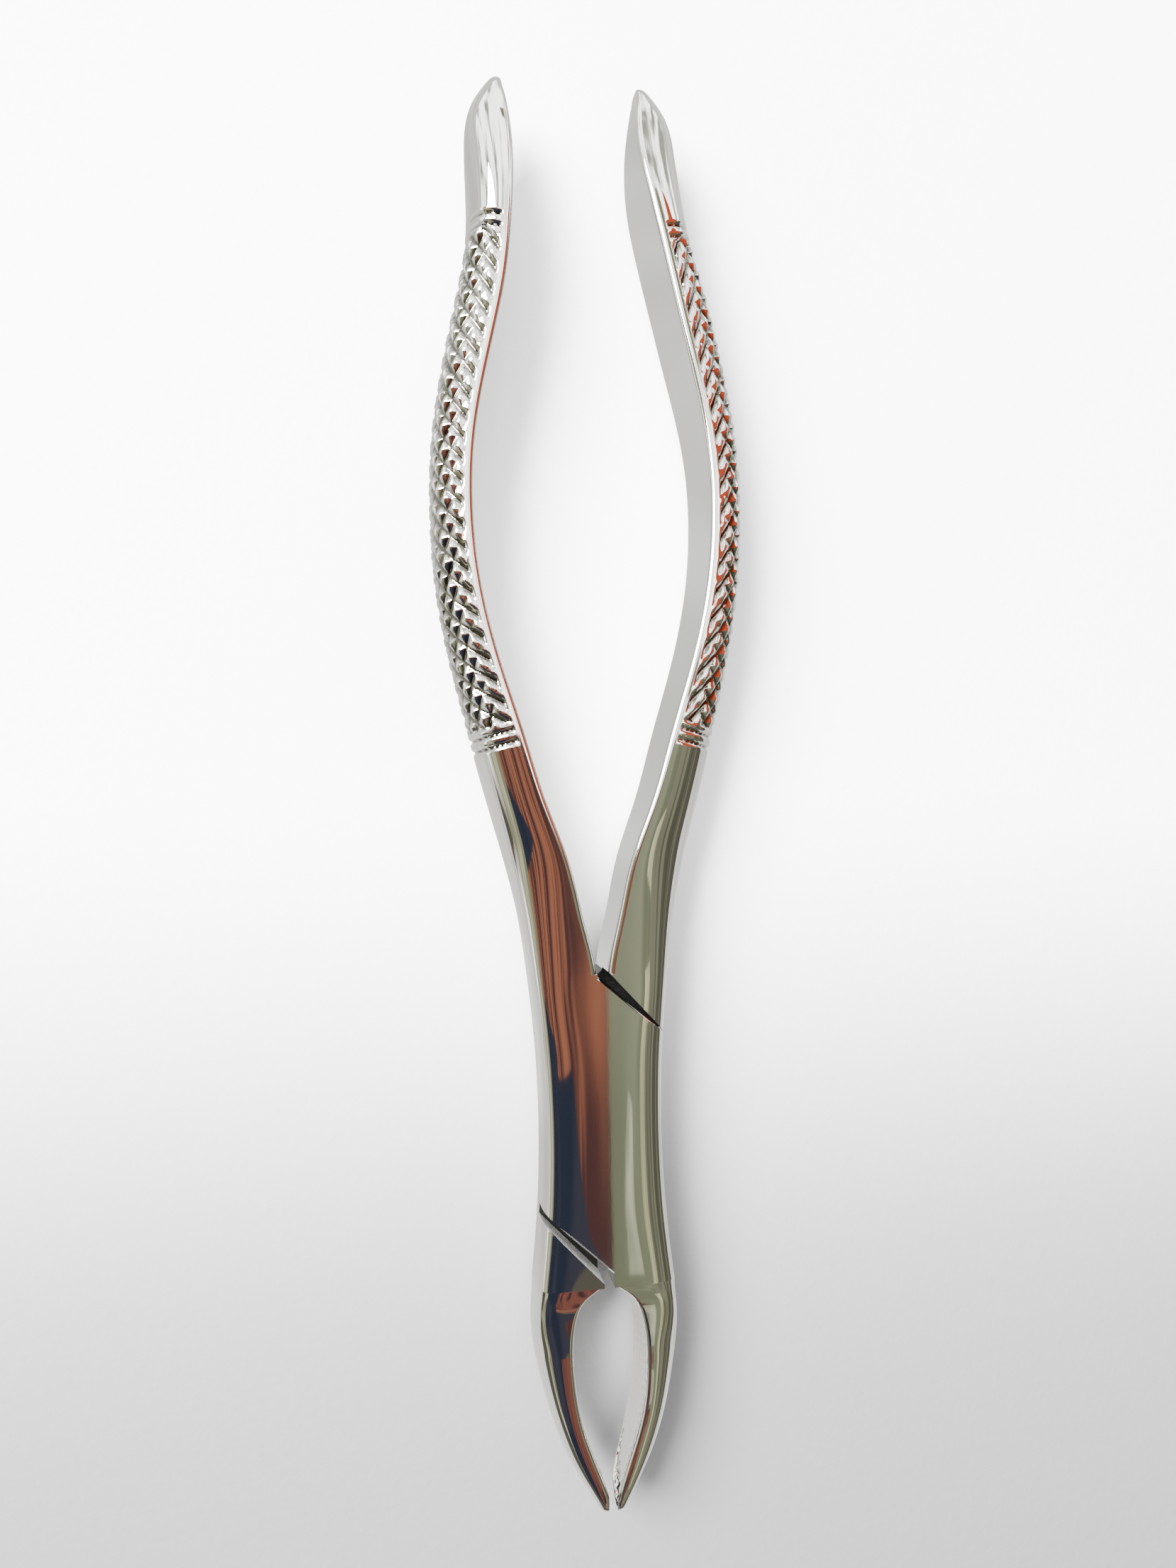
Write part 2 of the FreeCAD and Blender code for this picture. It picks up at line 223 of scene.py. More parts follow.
# %%
def half_skin():
    """Corners, faces and the along, girth, grip and tooth values of one half, uncut."""
    rings, arounds = zip(*(ring(y, part) for part, y in STATIONS))
    count, size = len(rings), len(rings[0])
    ys = np.array([y for _, y in STATIONS])
    corners = np.empty((count, size, 3))
    for i, points in enumerate(rings):
        corners[i] = np.stack([points[:, 0], np.full(size, ys[i]), points[:, 1]], 1)
    around = np.array(arounds)
    inner, outer = curve(HANDLE, 1, ys), curve(HANDLE, 2, ys)
    middle = -(inner + outer) / 2
    lean = np.gradient(middle, ys)
    tilt = (lean / np.hypot(1, lean))[:, None]
    run = np.concatenate([[0], np.cumsum(np.hypot(np.diff(ys), np.diff(middle)))])
    start = np.interp(-78.0, -ys, run)
    along = (78.0 - (run - start))[:, None] + (corners[..., 0] - middle[:, None]) * tilt
    on_handle = np.array([part == "handle" for part, _ in STATIONS])[:, None]
    reach = np.where(around < 90, np.abs(around), 0).max(1, keepdims=True)
    grip = np.where(on_handle & (around < 90), ease(0.0, 0.3, reach - 0.05 - np.abs(around)), 0)
    on_beak = np.array([part == "beak" for part, _ in STATIONS])[:, None]
    edge_room = ease(0.45, 1.0, reach - np.abs(around))
    tooth = np.where(on_beak & (around < 90), edge_room, 0) * ease(21.5, 24.5, -ys)[:, None]
    faces = []
    for i in range(count - 1):
        a, b = i * size, (i + 1) * size
        faces += [(a + j, a + (j + 1) % size, b + (j + 1) % size, b + j) for j in range(size)]
    faces.append(tuple(range(size - 1, -1, -1)))
    faces.append(tuple((count - 1) * size + j for j in range(size)))
    values = {"along": along, "girth": around, "grip": grip, "tooth": tooth}
    return corners.reshape(-1, 3), faces, {name: value.ravel() for name, value in values.items()}


def add_mesh(name, corners, faces, values=None):
    """A mesh object from plain corners and faces, in millimetres."""
    mesh = bpy.data.meshes.new(name)
    mesh.from_pydata([tuple(corner) for corner in corners], [], faces)
    for key, value in (values or {}).items():
        mesh.attributes.new(key, "FLOAT", "POINT").data.foreach_set("value", value.astype(np.float32))
    mesh.update()
    obj = bpy.data.objects.new(name, mesh)
    bpy.context.scene.collection.objects.link(obj)
    return obj


skin = add_mesh("skin", *half_skin())
print(len(skin.data.polygons), "faces before the joint is cut")

# %% [markdown]
# ## Grooves
# The grip is cut with two crossing families of V grooves. One family fades out near each edge,
# so that the other runs to the edge as long ribs. A pair of grooves closes the grip at each
# end. The same kind of group roughens a beak's gripping face with fine teeth.

# %%
def new_group(name, numbers):
    """An empty geometry group with a mesh socket and named number inputs."""
    group = bpy.data.node_groups.new(name, "GeometryNodeTree")
    group.interface.new_socket("Geometry", in_out="INPUT", socket_type="NodeSocketGeometry")
    for label, value in numbers:
        socket = group.interface.new_socket(label, in_out="INPUT", socket_type="NodeSocketFloat")
        socket.default_value = value
    group.interface.new_socket("Material", in_out="INPUT", socket_type="NodeSocketMaterial")
    group.interface.new_socket("Geometry", in_out="OUTPUT", socket_type="NodeSocketGeometry")
    return group


def put(tree, socket, value):
    """Feed a socket from another socket or with a constant."""
    if isinstance(value, bpy.types.NodeSocket):
        tree.links.new(value, socket)
    else:
        socket.default_value = value


def sums(tree, operation, *values):
    """One math node: its output socket."""
    node = tree.nodes.new("ShaderNodeMath")
    node.operation = operation
    for socket, value in zip(node.inputs, values):
        put(tree, socket, value)
    return node.outputs[0]


def read(tree, name):
    """The socket of a number stored on the mesh."""
    node = tree.nodes.new("GeometryNodeInputNamedAttribute")
    node.data_type = "FLOAT"
    node.inputs["Name"].default_value = name
    return node.outputs["Attribute"]


def soft_step(tree, value, low, high):
    """0 below low and 1 above high, smoothly."""
    node = tree.nodes.new("ShaderNodeMapRange")
    node.interpolation_type = "SMOOTHSTEP"
    put(tree, node.inputs["Value"], value)
    put(tree, node.inputs["From Min"], low)
    put(tree, node.inputs["From Max"], high)
    return node.outputs["Result"]


def sink(tree, start, depth, soot=None):
    """Move the surface inwards by depth, in millimetres, then set the material and end.

    The last value, when given, is painted shade: how dark a groove's bottom is painted, kept on the mesh for
    the material.
    """
    normal = tree.nodes.new("GeometryNodeInputNormal").outputs["Normal"]
    inwards = tree.nodes.new("ShaderNodeVectorMath")
    inwards.operation = "SCALE"
    put(tree, inwards.inputs[0], normal)
    put(tree, inwards.inputs["Scale"], sums(tree, "MULTIPLY", depth, -1.0))
    move = tree.nodes.new("GeometryNodeSetPosition")
    put(tree, move.inputs["Geometry"], start.outputs["Geometry"])
    put(tree, move.inputs["Offset"], inwards.outputs["Vector"])
    moved = move.outputs["Geometry"]
    if soot is not None:
        keep = tree.nodes.new("GeometryNodeStoreNamedAttribute")
        keep.data_type = "FLOAT"
        keep.domain = "POINT"
        keep.inputs["Name"].default_value = "soot"
        put(tree, keep.inputs["Geometry"], moved)
        put(tree, keep.inputs["Value"], soot)
        moved = keep.outputs["Geometry"]
    real = tree.nodes.new("GeometryNodeRealizeInstances")
    put(tree, real.inputs["Geometry"], moved)
    paint = tree.nodes.new("GeometryNodeSetMaterial")
    put(tree, paint.inputs["Geometry"], real.outputs["Geometry"])
    put(tree, paint.inputs["Material"], start.outputs["Material"])
    end = tree.nodes.new("NodeGroupOutput")
    put(tree, end.inputs["Geometry"], paint.outputs["Geometry"])


def grip_group():
    """Diamond knurling between two pairs of end grooves."""
    tree = new_group("DiamondGrip", (
        ("Rib Pitch", 2.6), ("Rib Slant", 0.85), ("Cross Pitch", 3.2), ("Cross Slant", -1.5),
        ("Depth", 0.55), ("Width", 1.45), ("Fade Start", 5.0), ("Fade End", 8.5),
        ("Grip Start", 48.4), ("Grip End", 107.4),
        ("Band Depth", 0.4), ("Band Width", 0.75), ("Band Gap", 1.35), ("Seed", 7.0)))
    start = tree.nodes.new("NodeGroupInput")
    size = start.outputs
    along, girth, grip = read(tree, "along"), read(tree, "girth"), read(tree, "grip")
    total = None
    for family, side in (("Rib", 1.0), ("Cross", -1.0)):
        pitch, slant = size[family + " Pitch"], size[family + " Slant"]
        slope = sums(tree, "SQRT", sums(tree, "ADD", sums(tree, "MULTIPLY", slant, slant), 1.0))
        turns = sums(tree, "ADD", along, sums(tree, "MULTIPLY", girth, slant))
        turns = sums(tree, "ADD", sums(tree, "DIVIDE", turns, pitch), 0.25 * side)
        line = sums(tree, "ABSOLUTE", sums(tree, "SUBTRACT", sums(tree, "FRACT", turns), 0.5))
        away = sums(tree, "DIVIDE", sums(tree, "MULTIPLY", line, pitch), slope)
        near = sums(tree, "DIVIDE", away, sums(tree, "MULTIPLY", size["Width"], 0.5))
        groove = sums(tree, "MAXIMUM", sums(tree, "SUBTRACT", 1.0, near), 0.0)
        uneven = tree.nodes.new("ShaderNodeTexWhiteNoise")
        uneven.noise_dimensions = "1D"
        put(tree, uneven.inputs["W"], sums(tree, "ADD", sums(tree, "FLOOR", turns), size["Seed"]))
        vary = sums(tree, "ADD", sums(tree, "MULTIPLY", uneven.outputs["Value"], 0.3), 0.8)
        groove = sums(tree, "MULTIPLY", sums(tree, "MULTIPLY", groove, size["Depth"]), vary)
        reach = sums(tree, "MULTIPLY", girth, -side)
        groove = sums(tree, "MULTIPLY", groove, soft_step(tree, reach, size["Fade End"], size["Fade Start"]))
        total = groove if total is None else sums(tree, "MAXIMUM", total, groove)
    inside = sums(tree, "MULTIPLY",
                  soft_step(tree, along, size["Grip Start"], sums(tree, "ADD", size["Grip Start"], 0.5)),
                  soft_step(tree, along, sums(tree, "ADD", size["Grip End"], 0.5), size["Grip End"]))
    total = sums(tree, "MULTIPLY", total, inside)
    for edge, side in (("Grip Start", -1.0), ("Grip End", 1.0)):
        for number in (0.5, 1.5):
            shift = sums(tree, "MULTIPLY", size["Band Gap"], number * side)
            centre = sums(tree, "ADD", size[edge], shift)
            away = sums(tree, "ABSOLUTE", sums(tree, "SUBTRACT", along, centre))
            near = sums(tree, "DIVIDE", away, sums(tree, "MULTIPLY", size["Band Width"], 0.5))
            band = sums(tree, "MAXIMUM", sums(tree, "SUBTRACT", 1.0, near), 0.0)
            band = sums(tree, "MULTIPLY", band, size["Band Depth"])
            total = sums(tree, "MAXIMUM", total, band)
    total = sums(tree, "MULTIPLY", total, grip)
    # The last value is painted shade for the groove bottoms: none up to 0.12 mm deep, full from 0.46 mm.
    sink(tree, start, total, soft_step(tree, total, 0.12, 0.46))
    return tree


def tooth_group():
    """Fine uneven teeth across a beak's gripping face."""
    tree = new_group("BeakTeeth", (("Tooth Pitch", 0.95), ("Tooth Depth", 0.10), ("Seed", 3.0)))
    start = tree.nodes.new("NodeGroupInput")
    place = tree.nodes.new("GeometryNodeInputPosition").outputs["Position"]
    parts = tree.nodes.new("ShaderNodeSeparateXYZ")
    put(tree, parts.inputs[0], place)
    turns = sums(tree, "DIVIDE", parts.outputs["Y"], start.outputs["Tooth Pitch"])
    line = sums(tree, "ABSOLUTE", sums(tree, "SUBTRACT", sums(tree, "FRACT", turns), 0.5))
    rough = tree.nodes.new("ShaderNodeTexNoise")
    rough.noise_dimensions = "4D"
    put(tree, rough.inputs["W"], start.outputs["Seed"])
    rough.inputs["Scale"].default_value = 1.6
    vary = sums(tree, "MULTIPLY", rough.outputs[0], 1.4)
    depth = sums(tree, "MULTIPLY", sums(tree, "MULTIPLY", line, 2.0), start.outputs["Tooth Depth"])
    depth = sums(tree, "MULTIPLY", sums(tree, "MULTIPLY", depth, vary), read(tree, "tooth"))
    sink(tree, start, depth)
    return tree


def bake(obj, group, material, **numbers):
    """Run a geometry group over obj and keep the plain mesh that comes out."""
    modifier = obj.modifiers.new(group.name, "NODES")
    modifier.node_group = group
    for item in group.interface.items_tree:
        if item.in_out == "INPUT" and item.name in numbers:
            modifier[item.identifier] = numbers[item.name]
        if item.in_out == "INPUT" and item.name == "Material":
            modifier[item.identifier] = material
    bpy.context.view_layer.update()
    evaluated = obj.evaluated_get(bpy.context.evaluated_depsgraph_get())
    mesh = bpy.data.meshes.new_from_object(evaluated)
    obj.modifiers.remove(modifier)
    obj.data = mesh
    return obj


# %% [markdown]
# ## Steel
# The whole tool is one mirror-polished stainless steel, with painted shade in the deep grooves
# of the grip. The lap faces and shoulders keep the marks of the milling cutter. The hidden lap face,
# the handle-side shoulders and the lap plate's slanting edge walls lie in the gaps between the
# halves and are painted near black as painted shade. The screw is turned.

# %%
def steel(name, tone, roughness, grain, strength, metallic=1.0):
    """Bare steel with fine marks. grain is the marks' scale along X, Y and Z, per metre."""
    material = bpy.data.materials.new(name)
    material.use_nodes = True
    tree = material.node_tree
    surface = tree.nodes["Principled BSDF"]
    surface.inputs["Base Color"].default_value = (*tone, 1)
    surface.inputs["Metallic"].default_value = metallic
    place = tree.nodes.new("ShaderNodeTexCoord")
    stretch = tree.nodes.new("ShaderNodeMapping")
    stretch.inputs["Scale"].default_value = grain
    tree.links.new(place.outputs["Object"], stretch.inputs["Vector"])
    marks = tree.nodes.new("ShaderNodeTexNoise")
    marks.inputs["Scale"].default_value = 1.0
    marks.inputs["Detail"].default_value = 4.0
    tree.links.new(stretch.outputs["Vector"], marks.inputs["Vector"])
    spread = tree.nodes.new("ShaderNodeMapRange")
    spread.inputs["To Min"].default_value = roughness * 0.7
    spread.inputs["To Max"].default_value = roughness * 1.3
    tree.links.new(marks.outputs[0], spread.inputs["Value"])
    tree.links.new(spread.outputs["Result"], surface.inputs["Roughness"])
    relief = tree.nodes.new("ShaderNodeBump")
    relief.inputs["Strength"].default_value = strength
    relief.inputs["Distance"].default_value = 0.0001
    tree.links.new(marks.outputs[0], relief.inputs["Height"])
    tree.links.new(relief.outputs["Normal"], surface.inputs["Normal"])
    return material


def paint_groove_shade(material, tone):
    """Painted shade: let the steel go dark where the mesh says that a groove is deep."""
    tree = material.node_tree
    surface = tree.nodes["Principled BSDF"]
    soot = tree.nodes.new("ShaderNodeAttribute")
    soot.attribute_name = "soot"
    mix = tree.nodes.new("ShaderNodeMix")
    mix.data_type = "RGBA"
    tree.links.new(soot.outputs["Fac"], mix.inputs[0])
    mix.inputs[6].default_value = tuple(surface.inputs["Base Color"].default_value)
    mix.inputs[7].default_value = (*tone, 1)
    tree.links.new(mix.outputs[2], surface.inputs["Base Color"])


polished = steel("PolishedSteel", (0.63, 0.62, 0.59), 0.035, (420, 60, 420), 0.02)
# Painted shade: the polished steel is painted near black in the deep grooves.
paint_groove_shade(polished, (0.11, 0.105, 0.08))
milled = steel("MilledSteel", (0.70, 0.69, 0.66), 0.45, (3000, 900, 900), 0.5, 0.45)
# Painted shade: a near-black steel for the hidden lap face and for the walls that face into the gaps between
# the halves.
gap_shade_steel = steel("GapShadeSteel", (0.035, 0.035, 0.035), 0.45, (900, 4000, 900), 0.2)
turned = steel("ScrewSteel", (0.80, 0.79, 0.77), 0.18, (2500, 2500, 2500), 0.05)
print("materials:", polished.name, milled.name, turned.name)

# %%
bake(skin, grip_group(), polished, Seed=7.0)
bake(skin, tooth_group(), polished, Seed=3.0)
print("grip and teeth cut:", len(skin.data.polygons), "faces")

# %% [markdown]
# ## Cutting the joint
# A cutter is a stack of matching outlines. Its top outline stands a little wider, so that a
# cut leaves a bright bevel along the edge.

# %%
def prism(name, levels):
    """A closed solid through outlines of equal length: (z, ((x, y), ...)), from low to high."""
    size = len(levels[0][1])
    corners = [(x, y, z) for z, outline in levels for x, y in outline]
    faces = [tuple(range(size - 1, -1, -1)), tuple(range(len(corners) - size, len(corners)))]
    for level in range(len(levels) - 1):
        a, b = level * size, (level + 1) * size
        faces += [(a + j, a + (j + 1) % size, b + (j + 1) % size, b + j) for j in range(size)]
    cutter = add_mesh(name, corners, faces)
    cutter.data.materials.append(polished)
    cutter.data.materials.append(milled)
    cutter.data.materials.append(gap_shade_steel)
    return cutter


def rod(name, radii, count=96):
    """A closed round solid about the pivot axis, through rows of height and radius."""
    turn = np.linspace(0, 2 * math.pi, count, endpoint=False)
    levels = [(z, [(r * math.cos(t), r * math.sin(t)) for t in turn]) for z, r in radii]
    return prism(name, levels)


def cut(obj, cutter, milled_cut=True, operation="DIFFERENCE"):
    """Cut one solid out of another and throw the cutter away."""
    # Material 2 is the near-black steel, painted shade of the gaps between the halves. In a milled cut it
    # goes on the level faces and the handle-side walls, and in a plain cut on the upright walls. Material 1
    # is milled steel and 0 is polished steel.
    for face in cutter.data.polygons:
        level, handle_side = abs(face.normal.z) > 0.9, face.center.y > 0
        if milled_cut:
            face.material_index = 2 if level or handle_side else 1
        else:
            face.material_index = 2 if abs(face.normal.z) < 0.1 else 0
    modifier = obj.modifiers.new("Cut", "BOOLEAN")
    modifier.operation = operation
    modifier.solver = "EXACT"
    modifier.material_mode = "TRANSFER"
    modifier.object = cutter
    bpy.context.view_layer.update()
    mesh = bpy.data.meshes.new_from_object(obj.evaluated_get(bpy.context.evaluated_depsgraph_get()))
    obj.modifiers.remove(modifier)
    obj.data = mesh
    bpy.data.objects.remove(cutter)


def handle_corner(back, away):
    """The outline above the lap plate's handle edge, moved into the plate by back."""
    slide = back * 1.15
    left, low = -0.7 - away, 10.5 - slide
    return ((left, 19.3 - slide), (9.2, low), (20, low), (20, 60), (left, 60))


def beak_corner(back):
    """The outline beyond the lap plate's beak edge, moved into the plate by back."""
    slide = back * 1.2
    return ((-20, -7.1 + slide), (-20, -60), (0.6, -60), (0.6, -16.3 + slide), (-9.2, -7.1 + slide))


def cut_half(obj):
    """Cut the lap face with its shoulders, then the lap plate's two slanting edges."""
    mill = (
        (-30, 10.75), (-30, -60), (0, -60), (0, -18.0), (9.4, -8.0),
        (30, -8.0), (30, 60), (-0.65, 60), (-0.65, 19.8), (-8.8, 10.75))
    cut(obj, prism("lower_layer", ((-30, mill), (0.025, mill))))
    top = HALF_THICK
    plain, wide = handle_corner(0, 0), handle_corner(0.6, 0)
    corner = ((-30, plain), (top - 0.3, plain), (top + 0.3, wide))
    cut(obj, prism("handle_corner", corner), False)
    corner = ((-30, beak_corner(0)), (top - 0.25, beak_corner(0)), (top + 0.3, beak_corner(0.55)))
    cut(obj, prism("beak_corner", corner), False)


# %%
def finish_half(obj, name, upper):
    """Set the half in its place in metres and mark sharp edges."""
    flip = 1.0 if upper else -1.0
    corners = np.empty(len(obj.data.vertices) * 3, np.float32)
    obj.data.vertices.foreach_get("co", corners)
    corners = corners.reshape(-1, 3)
    corners[:, 0] -= flip * END_LEAN * ease(99, 123, corners[:, 1])
    obj.data.vertices.foreach_set("co", corners.ravel())
    place = Matrix.Diagonal((0.001 * flip, 0.001, 0.001 * flip, 1))
    place.translation = Vector((0, 0, PIVOT_HEIGHT * 0.001))
    obj.data.transform(place)
    obj.name = name
    obj.data.name = name
    obj.data.polygons.foreach_set("use_smooth", [True] * len(obj.data.polygons))
    obj.data.set_sharp_from_angle(angle=math.radians(42))
    obj.data.update()
    return obj


def turn_down(obj):
    """Curve the beak down instead of up, so that it points up once the half is turned over."""
    corners = np.empty(len(obj.data.vertices) * 3, np.float32)
    obj.data.vertices.foreach_get("co", corners)
    corners = corners.reshape(-1, 3)
    corners[:, 2] -= 2 * rise_at(-corners[:, 1])
    obj.data.vertices.foreach_set("co", corners.ravel())


upper = skin
cut_half(upper)
lower = bpy.data.objects.new("lower", upper.data.copy())
bpy.context.scene.collection.objects.link(lower)
turn_down(lower)
cut(upper, rod("blind_hole", ((-1.0, 2.53), (3.4, 2.53))))
cut(lower, rod("bore", ((-1.0, 2.56), (8.0, 2.56))))
cut(lower, rod("head_seat", ((PIVOT_HEIGHT - 1.62, 3.86), (8.0, 3.86))))
finish_half(upper, "upper_half_look", True)
finish_half(lower, "lower_half_look", False)
for half in (upper, lower):
    print(half.name, len(half.data.polygons), "faces")

# %% [markdown]
# ## The screw
# A slotted head sits flush in the underside, and its shank turns up into the upper half.

# %%
screw = rod("pivot_screw_look", (
    (0.08, 3.45), (0.2, 3.72), (0.32, 3.78), (1.5, 3.78), (1.56, 3.72), (1.56, 2.56),
    (1.62, 2.5), (7.6, 2.5), (7.85, 2.25)))
slot_cut = ((-6, -0.45), (6, -0.45), (6, 0.45), (-6, 0.45))
cut(screw, prism("slot", ((-1, slot_cut), (0.76, slot_cut))), False)
screw.data.transform(Matrix.Rotation(math.radians(25), 4, "Z"))
screw.data.transform(Matrix.Scale(0.001, 4))
screw.data.materials.clear()
screw.data.materials.append(turned)
screw.data.polygons.foreach_set("use_smooth", [True] * len(screw.data.polygons))
screw.data.set_sharp_from_angle(angle=math.radians(30))
print("screw:", len(screw.data.polygons), "faces")

# %%
for piece, node, body, finish in (
        (upper, "upper_half", "upper", "polished_steel"),
        (lower, "lower_half", "lower", "polished_steel"),
        (screw, "pivot_screw", "upper", "screw_steel")):
    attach(piece, body)
    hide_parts(node)

# %% [markdown]
# ## Floor, light and camera
# A sheet of pale paper with a painted shadow over its lower part, a pale room with a few
# coloured surfaces that the polish picks up, and a phone held above the handles.

# %%
bpy.ops.mesh.primitive_plane_add(size=6)
floor = bpy.context.object
floor.name = "paper_floor"
floor.data.transform(Matrix.Rotation(math.atan(-1.5 / 123), 4, "X"))
floor.data.transform(Matrix.Translation((0, 0, -0.0004)))
paper = bpy.data.materials.new("Paper")
paper.use_nodes = True
tree = paper.node_tree
surface = tree.nodes["Principled BSDF"]
surface.inputs["Roughness"].default_value = 0.9
surface.inputs["Specular IOR Level"].default_value = 0.1
place = tree.nodes.new("ShaderNodeTexCoord")
parts = tree.nodes.new("ShaderNodeSeparateXYZ")
tree.links.new(place.outputs["Object"], parts.inputs[0])
# Painted shadow: the paper's base colour is a grey ramp along Y. It is pale at the top and dark towards the
# bottom, standing in for the shade over the lower paper.
share = tree.nodes.new("ShaderNodeMapRange")
share.inputs["From Min"].default_value = -0.075
share.inputs["From Max"].default_value = 0.04
tree.links.new(parts.outputs["Y"], share.inputs["Value"])
shade = tree.nodes.new("ShaderNodeValToRGB")
shade.color_ramp.interpolation = "B_SPLINE"
for position, grey in ((0.0, 0.13), (0.3, 0.16), (0.5, 0.20), (0.68, 0.37), (0.85, 0.7), (1.0, 0.92)):
    mark = shade.color_ramp.elements.new(position)
    mark.color = (grey, grey, grey * 1.02, 1)
shade.color_ramp.elements.remove(shade.color_ramp.elements[0])
shade.color_ramp.elements.remove(shade.color_ramp.elements[-1])
tree.links.new(share.outputs["Result"], shade.inputs["Fac"])
tree.links.new(shade.outputs["Color"], surface.inputs["Base Color"])
grain = tree.nodes.new("ShaderNodeTexNoise")
grain.inputs["Scale"].default_value = 900
tree.links.new(place.outputs["Object"], grain.inputs["Vector"])
relief = tree.nodes.new("ShaderNodeBump")
relief.inputs["Strength"].default_value = 0.12
relief.inputs["Distance"].default_value = 0.0004
tree.links.new(grain.outputs[0], relief.inputs["Height"])
tree.links.new(relief.outputs["Normal"], surface.inputs["Normal"])
floor.data.materials.append(paper)
floor.visible_glossy = False
print("floor:", floor.name)

# %%
camera_data = bpy.data.cameras.new("phone")
camera_data.lens = 26
camera_data.sensor_width = 36
camera = bpy.data.objects.new("phone", camera_data)
bpy.context.scene.collection.objects.link(camera)
turn = Matrix.Rotation(math.radians(-1.24), 4, "Z") @ Matrix.Rotation(math.radians(-10.35), 4, "Y")
turn = turn @ Matrix.Rotation(math.radians(0.1), 4, "X")
camera.matrix_world = Matrix.Translation((-0.0255, 0.0425, 0.1413)) @ turn
bpy.context.scene.camera = camera
print("camera:", camera_data.lens, "mm lens")

# %% [markdown]
# The room is white above and towards the handles, and greyer and patchy near the horizon.

# %%
world = bpy.data.worlds.new("room")
bpy.context.scene.world = world
world.use_nodes = True
tree = world.node_tree
place = tree.nodes.new("ShaderNodeTexCoord")
patches = tree.nodes.new("ShaderNodeTexNoise")
patches.inputs["Scale"].default_value = 2.6
patches.inputs["Detail"].default_value = 1.5
tree.links.new(place.outputs["Generated"], patches.inputs["Vector"])
parts = tree.nodes.new("ShaderNodeSeparateXYZ")
tree.links.new(place.outputs["Generated"], parts.inputs[0])
upwards = sums(tree, "MULTIPLY", parts.outputs["Z"], 0.35)
height = sums(tree, "ADD", upwards, sums(tree, "MULTIPLY", parts.outputs["Y"], 0.8))
height = sums(tree, "SUBTRACT", height, sums(tree, "MULTIPLY", parts.outputs["X"], 0.3))
uneven = sums(tree, "MULTIPLY", sums(tree, "SUBTRACT", patches.outputs[0], 0.5), 0.9)
height = sums(tree, "ADD", height, uneven)
lift = soft_step(tree, height, 0.0, 0.3)
walls = tree.nodes.new("ShaderNodeMix")
walls.data_type = "RGBA"
tree.links.new(lift, walls.inputs[0])
walls.inputs[6].default_value = (0.16, 0.15, 0.12, 1)
bright = tree.nodes.new("ShaderNodeMix")
bright.data_type = "RGBA"
bright.inputs[6].default_value = (0.75, 0.75, 0.66, 1)
bright.inputs[7].default_value = (5.6, 5.6, 5.7, 1)
stretch = tree.nodes.new("ShaderNodeMapping")
stretch.inputs["Scale"].default_value = (7.0, 1.6, 3.0)
tree.links.new(place.outputs["Generated"], stretch.inputs["Vector"])
streaks = tree.nodes.new("ShaderNodeTexNoise")
streaks.inputs["Scale"].default_value = 1.0
tree.links.new(stretch.outputs["Vector"], streaks.inputs["Vector"])
tree.links.new(soft_step(tree, streaks.outputs[0], 0.34, 0.56), bright.inputs[0])
tree.links.new(bright.outputs[2], walls.inputs[7])
tree.links.new(walls.outputs[2], tree.nodes["Background"].inputs["Color"])
tree.nodes["Background"].inputs["Strength"].default_value = 1.0
print("room:", len(tree.nodes), "nodes")

# %% [markdown]
# Cards are seen only in reflections. Each is an outline in degrees from straight up, towards
# +X and +Y, on a sheet at the height given. They are placed for the camera above, so from
# other angles the steel shows colours that mean nothing.

# %%
def card(name, height, outline, colour, other=None, scale=(3.0, 3.0)):
    """A glowing sheet over the forceps, its outline given in degrees."""
    slopes = [(math.tan(math.radians(x)), math.tan(math.radians(y))) for x, y in outline]
    return glow_sheet(name, [(height * x, height * y, height) for x, y in slopes], colour, other, scale)


def glow_sheet(name, corners, colour, other, scale):
    """A sheet that only the polished steel sees, mottled between two colours."""
    sheet = add_mesh(name, corners, [tuple(range(len(corners)))])
    material = bpy.data.materials.new(name)
    material.use_nodes = True
    tree = material.node_tree
    tree.nodes.remove(tree.nodes["Principled BSDF"])
    glow = tree.nodes.new("ShaderNodeEmission")
    place = tree.nodes.new("ShaderNodeTexCoord")
    stretch = tree.nodes.new("ShaderNodeMapping")
    stretch.inputs["Scale"].default_value = (*scale, 1.0)
    tree.links.new(place.outputs["Object"], stretch.inputs["Vector"])
    mottle = tree.nodes.new("ShaderNodeTexNoise")
    mottle.inputs["Scale"].default_value = 1.0
    tree.links.new(stretch.outputs["Vector"], mottle.inputs["Vector"])
    mix = tree.nodes.new("ShaderNodeMix")
    mix.data_type = "RGBA"
    tree.links.new(soft_step(tree, mottle.outputs[0], 0.42, 0.6), mix.inputs[0])
    mix.inputs[6].default_value = (*colour, 1)
    mix.inputs[7].default_value = (*(other or colour), 1)
    tree.links.new(mix.outputs[2], glow.inputs["Color"])
    tree.links.new(glow.outputs[0], tree.nodes["Material Output"].inputs["Surface"])
    sheet.data.materials.append(material)
    sheet.visible_camera = False
    sheet.visible_diffuse = False
    sheet.visible_shadow = False
    return sheet


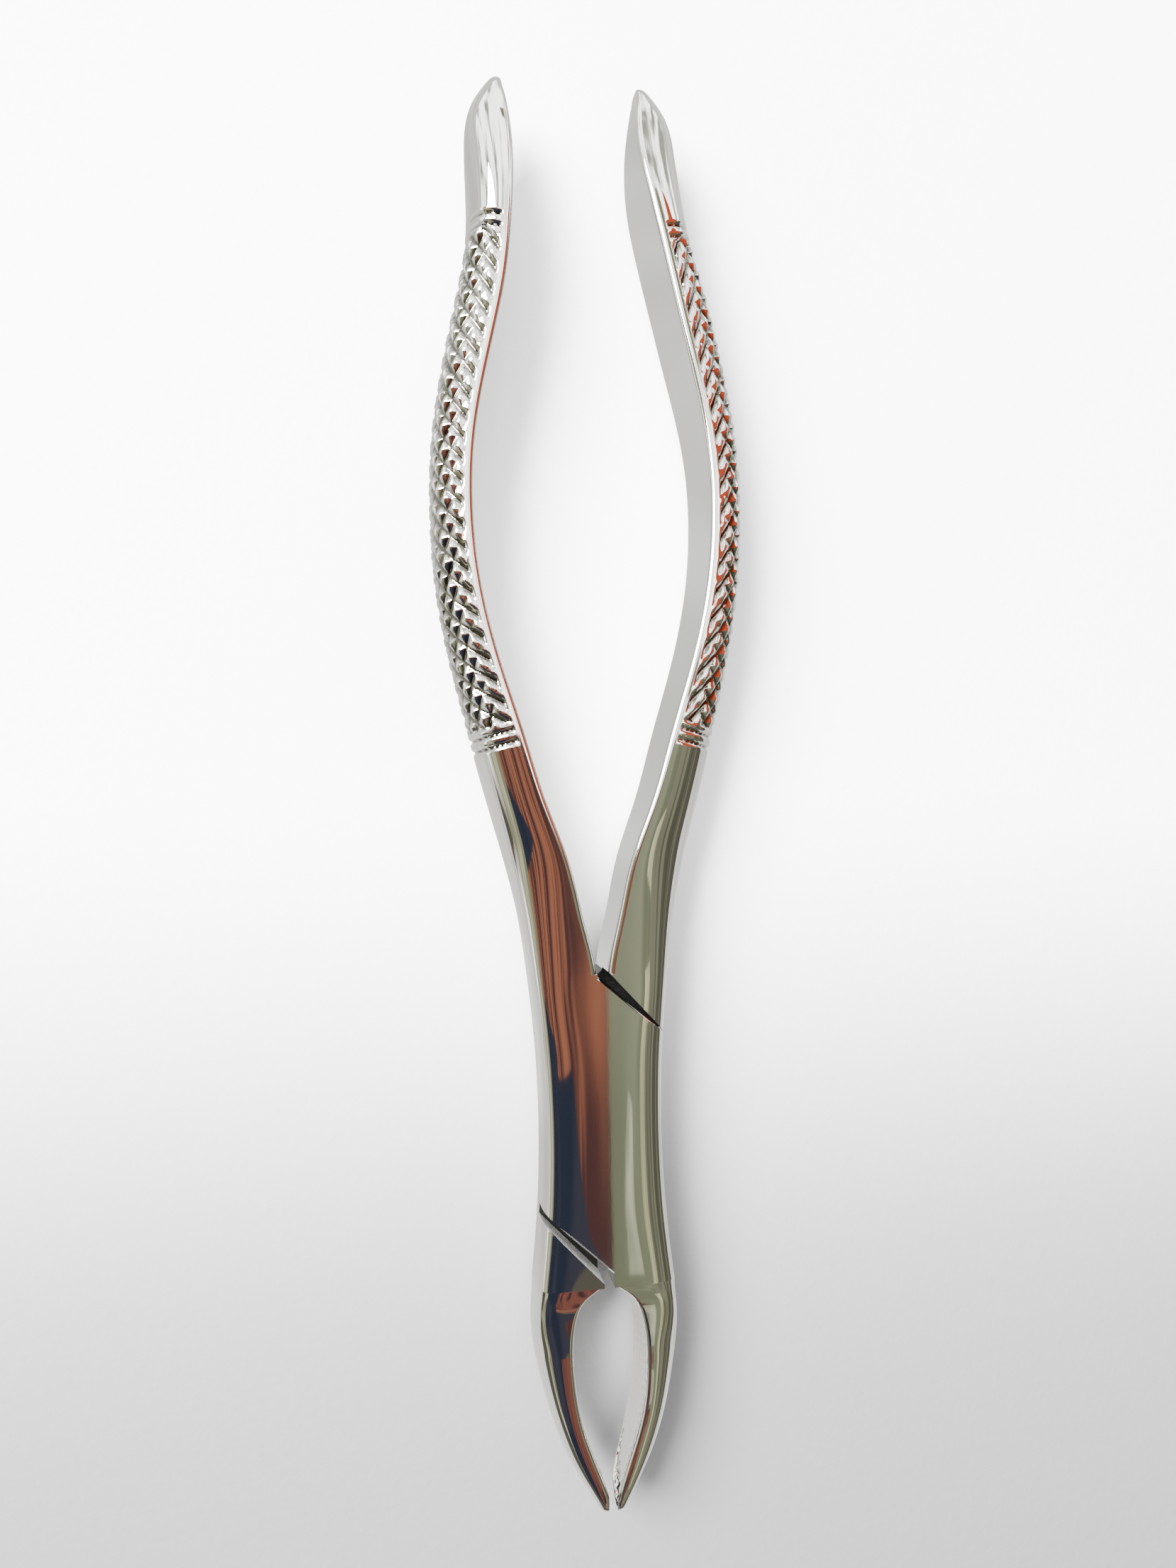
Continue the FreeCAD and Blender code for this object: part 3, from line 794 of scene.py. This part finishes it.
card("warm_brown", 0.60, ((-48, -2), (-48, -19), (3, -13.5), (11, -25), (11, 4), (-20, 4)),
     (0.58, 0.22, 0.13), (0.13, 0.06, 0.06), (24.0, 2.5))
card("dark_blue", 0.61, ((-48, -18), (-48, -68), (-5, -68), (-3, -27), (11, -24), (3, -12.5)),
     (0.040, 0.050, 0.085), (0.075, 0.075, 0.105))
card("maroon", 0.62, ((-4, -26), (-6, -68), (13, -68), (13, -26)),
     (0.20, 0.075, 0.06), (0.45, 0.20, 0.14), (6.0, 14.0))
card("olive", 0.63, ((11, 4), (11, -26), (13, -26), (13, -68), (25, -68), (25, 2)),
     (0.47, 0.50, 0.34), (0.30, 0.33, 0.22), (7.0, 1.5))
card("dark_olive", 0.635, ((24, 2), (24, -68), (74, -68), (74, -2)),
     (0.15, 0.15, 0.11), (0.36, 0.36, 0.26), (5.0, 1.2))
card("beak_brown", 0.04, ((-13, -45), (-11, -70), (12, -70), (12, -44)),
     (0.34, 0.13, 0.10), (0.09, 0.05, 0.055), (260.0, 30.0))
card("cream_patch", 0.62, ((12.6, -18), (12.0, -25), (14.8, -25), (15.2, -16), (13.6, -15)),
     (1.05, 1.08, 0.80), (0.52, 0.55, 0.38), (14.0, 6.0))
card("cream", 0.615, ((21, -8), (20, -44), (27, -44), (27, -8)),
     (1.4, 1.4, 0.85), (0.7, 0.7, 0.42), (8.0, 3.0))
card("left_wall", 0.62, ((-80, 20), (-80, -60), (-47, -60), (-47, -3), (-22, -3), (-22, 14), (-47, 20)),
     (0.34, 0.35, 0.22), (1.2, 1.15, 0.85), (1.5, 1.2))
card("door_edge", 0.62, ((13, 6), (17, 6), (17, 72), (13, 72)), (0.40, 0.39, 0.24))
card("shelf_left", 0.62, ((-62, 4), (-56, 4), (-50, 60), (-58, 60)), (0.5, 0.5, 0.42), (1.2, 1.2, 1.0))
card("red_cloth", 0.08, ((30, 27), (75, 27), (75, 66), (30, 66)),
     (1.30, 0.15, 0.06), (0.62, 0.15, 0.08), (60.0, 60.0))

# %% [markdown]
# The steel sees this plain glowing sheet in place of the paper.

# %%
paper_corners = [(x, y, -0.0035) for x, y in ((-0.7, -0.7), (0.7, -0.7), (0.7, 0.7), (-0.7, 0.7))]
glow_sheet("paper_mirror", paper_corners, (1.60, 1.60, 1.57), (1.15, 1.15, 1.10), (9, 30))

# %% [markdown]
# A soft window at the upper left throws the shadows to the right.

# %%
lamp_data = bpy.data.lights.new("window", "AREA")
lamp_data.energy = 190
lamp_data.size = 0.7
lamp = bpy.data.objects.new("window", lamp_data)
bpy.context.scene.collection.objects.link(lamp)
lamp.location = (-0.75, 0.55, 0.8)
lamp.rotation_euler = (Vector((0, 0, 0)) - lamp.location).to_track_quat("-Z", "Y").to_euler()
print("lamp:", lamp.name)
